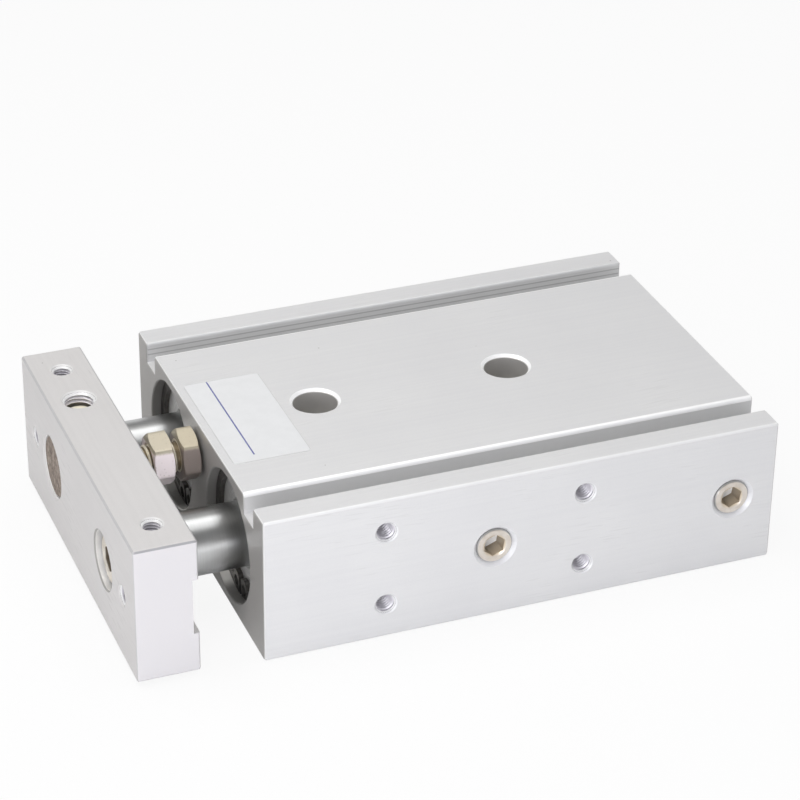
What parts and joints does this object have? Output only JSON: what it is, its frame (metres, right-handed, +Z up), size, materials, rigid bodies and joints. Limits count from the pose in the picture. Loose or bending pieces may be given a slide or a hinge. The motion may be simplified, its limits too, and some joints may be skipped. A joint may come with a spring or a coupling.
{
  "type": "twin rod pneumatic cylinder",
  "caption": "Flat twin rod air cylinder: parallel pistons in an anodised aluminium housing with sensor slots push a common end plate with a stroke adjusting bolt.",
  "frame": {"origin": "centre of the housing's underside", "axes": "+X along the rods towards the closed head end, so the rods extend towards -X; +Y to the side with the open ports; +Z up"},
  "size_m": [0.1628, 0.098, 0.038],
  "materials": {
    "anodised_housing": "silver satin anodised extrusion",
    "anodised_plate": "silver satin anodised, milled",
    "bearing_alloy": "turned",
    "cover_alloy": "turned",
    "piston_alloy": "turned",
    "chromed_rod": "ground and hard chrome plated",
    "spring_steel": "black phosphated",
    "nickel_plug": "nickel plated",
    "nickel_screw": "nickel plated",
    "zinc_screw": "yellow zinc plated",
    "zinc_bolt": "yellow zinc plated",
    "zinc_nut": "yellow zinc plated",
    "seal_rubber": "black nitrile rubber",
    "urethane": "dark urethane",
    "bonded_magnet": "bonded ferrite"
  },
  "bodies": {
    "barrel": {"housing": "anodised_housing", "port_plugs": "nickel_plug", "rod_cover_a": "bearing_alloy", "rod_seal_a": "seal_rubber", "rod_cover_o_ring_a": "seal_rubber", "front_retaining_ring_a": "spring_steel", "head_cover_a": "cover_alloy", "head_cover_o_ring_a": "seal_rubber", "rear_retaining_ring_a": "spring_steel", "rod_cover_b": "bearing_alloy", "rod_seal_b": "seal_rubber", "rod_cover_o_ring_b": "seal_rubber", "front_retaining_ring_b": "spring_steel", "head_cover_b": "cover_alloy", "head_cover_o_ring_b": "seal_rubber", "rear_retaining_ring_b": "spring_steel"},
    "slider": {"end_plate": "anodised_plate", "rod_cap_screw": "nickel_screw", "rod_set_screw": "zinc_screw", "piston_rod_a": "chromed_rod", "piston_a": "piston_alloy", "piston_seal_a": "seal_rubber", "magnet_ring_a": "bonded_magnet", "front_bumper_a": "urethane", "rear_bumper_a": "urethane", "piston_rod_b": "chromed_rod", "piston_b": "piston_alloy", "piston_seal_b": "seal_rubber", "magnet_ring_b": "bonded_magnet", "front_bumper_b": "urethane", "rear_bumper_b": "urethane"},
    "adjuster": {"bumper_bolt": "zinc_bolt", "lock_nut": "zinc_nut", "bumper_pad": "urethane"}
  },
  "joints": [
    {"name": "rod_slide", "type": "slide", "parent": "barrel", "child": "slider", "axis": [-1, 0, 0], "range_m": [0, 0.05]},
    {"name": "stroke_adjust", "type": "slide", "parent": "slider", "child": "adjuster", "axis": [-1, 0, 0], "range_m": [0, 0.0027]}
  ]
}
